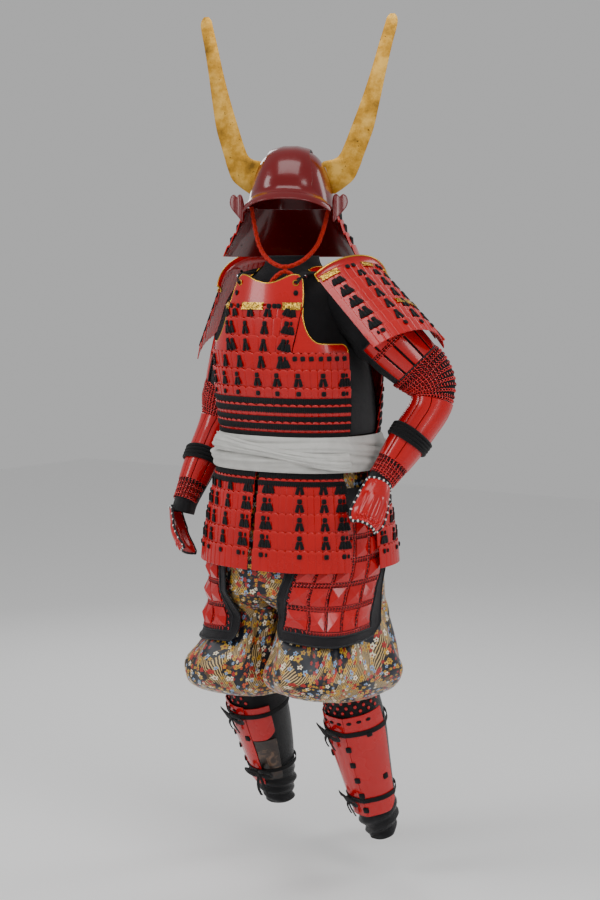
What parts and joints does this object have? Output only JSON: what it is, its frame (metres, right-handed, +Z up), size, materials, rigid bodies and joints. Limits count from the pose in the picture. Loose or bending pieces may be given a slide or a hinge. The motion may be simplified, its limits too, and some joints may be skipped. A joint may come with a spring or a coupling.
{
  "type": "suit of red laced samurai armour",
  "caption": "Worn suit of red laced samurai armour: horned helmet, cuirass, shoulder, arm, thigh and shin guards, laced skirt, sash, brocade trousers; hollow, open at neck, cuffs and ankles.",
  "frame": {"origin": "between the wearer's shoulders at the height where the shoulder straps carry the suit, 1.44 m above the ground that the wearer stood on", "axes": "+Z up, -Y the way the body faces, +X the wearer's left"},
  "size_m": [0.73, 0.4616, 2.0479],
  "materials": {
    "red_lacquer": "gloss lacquer over steel and hide plates",
    "gold_leaf": "gilded, satin with darker patches",
    "black_cloth": "quilted cotton and satin, dull",
    "black_braid": "flat braided silk lacing and cord",
    "red_mail": "red lacquered links on black cloth",
    "red_braid": "braided silk cord",
    "brown_leather": "smooth, creased",
    "white_sash": "soft cotton",
    "brocade": "figured silk, gold and navy, soft sheen"
  },
  "bodies": {
    "root": {"arming_yoke": "black_cloth", "armpit_plate_left": "red_lacquer", "armpit_plate_right": "red_lacquer", "back_lower_lames": "red_lacquer", "back_plate": "red_lacquer", "back_upper_lames": "red_lacquer", "breast_plate": "red_lacquer", "chin_cord": "red_braid", "chin_cord_ends": "red_braid", "ear_flap_left": "red_lacquer", "ear_flap_right": "red_lacquer", "elbow_mail_left": "red_mail", "elbow_mail_right": "red_mail", "forearm_guard_left": "red_lacquer", "forearm_guard_right": "red_lacquer", "front_lower_lames": "red_lacquer", "front_upper_lames": "red_lacquer", "hand_guard_left": "red_lacquer", "hand_guard_right": "red_lacquer", "helmet_bowl": "red_lacquer", "helmet_front_plate": "red_lacquer", "horn_left": "gold_leaf", "horn_right": "gold_leaf", "legging_left": "black_cloth", "legging_right": "black_cloth", "neck_guard": "red_lacquer", "sash_cross": "white_sash", "sash_wrap": "white_sash", "shin_guard_left": "red_lacquer", "shin_guard_right": "red_lacquer", "shin_inner_plate_left": "red_lacquer", "shin_inner_plate_right": "red_lacquer", "shin_leather_left": "brown_leather", "shin_leather_right": "brown_leather", "shoulder_guard_cap_left": "red_lacquer", "shoulder_guard_cap_right": "red_lacquer", "shoulder_guard_left": "red_lacquer", "shoulder_guard_right": "red_lacquer", "shoulder_strap_left": "red_lacquer", "shoulder_strap_right": "red_lacquer", "shoulder_tie_left": "black_braid", "shoulder_tie_right": "black_braid", "skirt_back_left": "red_lacquer", "skirt_back_right": "red_lacquer", "skirt_front_left": "red_lacquer", "skirt_front_right": "red_lacquer", "skirt_side_left": "red_lacquer", "skirt_side_right": "red_lacquer", "sleeve_left": "black_cloth", "sleeve_right": "black_cloth", "thigh_guard_left": "red_lacquer", "thigh_guard_right": "red_lacquer", "trouser_leg_left": "brocade", "trouser_leg_right": "brocade", "trouser_seat": "brocade", "upper_arm_splints_left": "red_lacquer", "upper_arm_splints_right": "red_lacquer"}
  },
  "joints": []
}
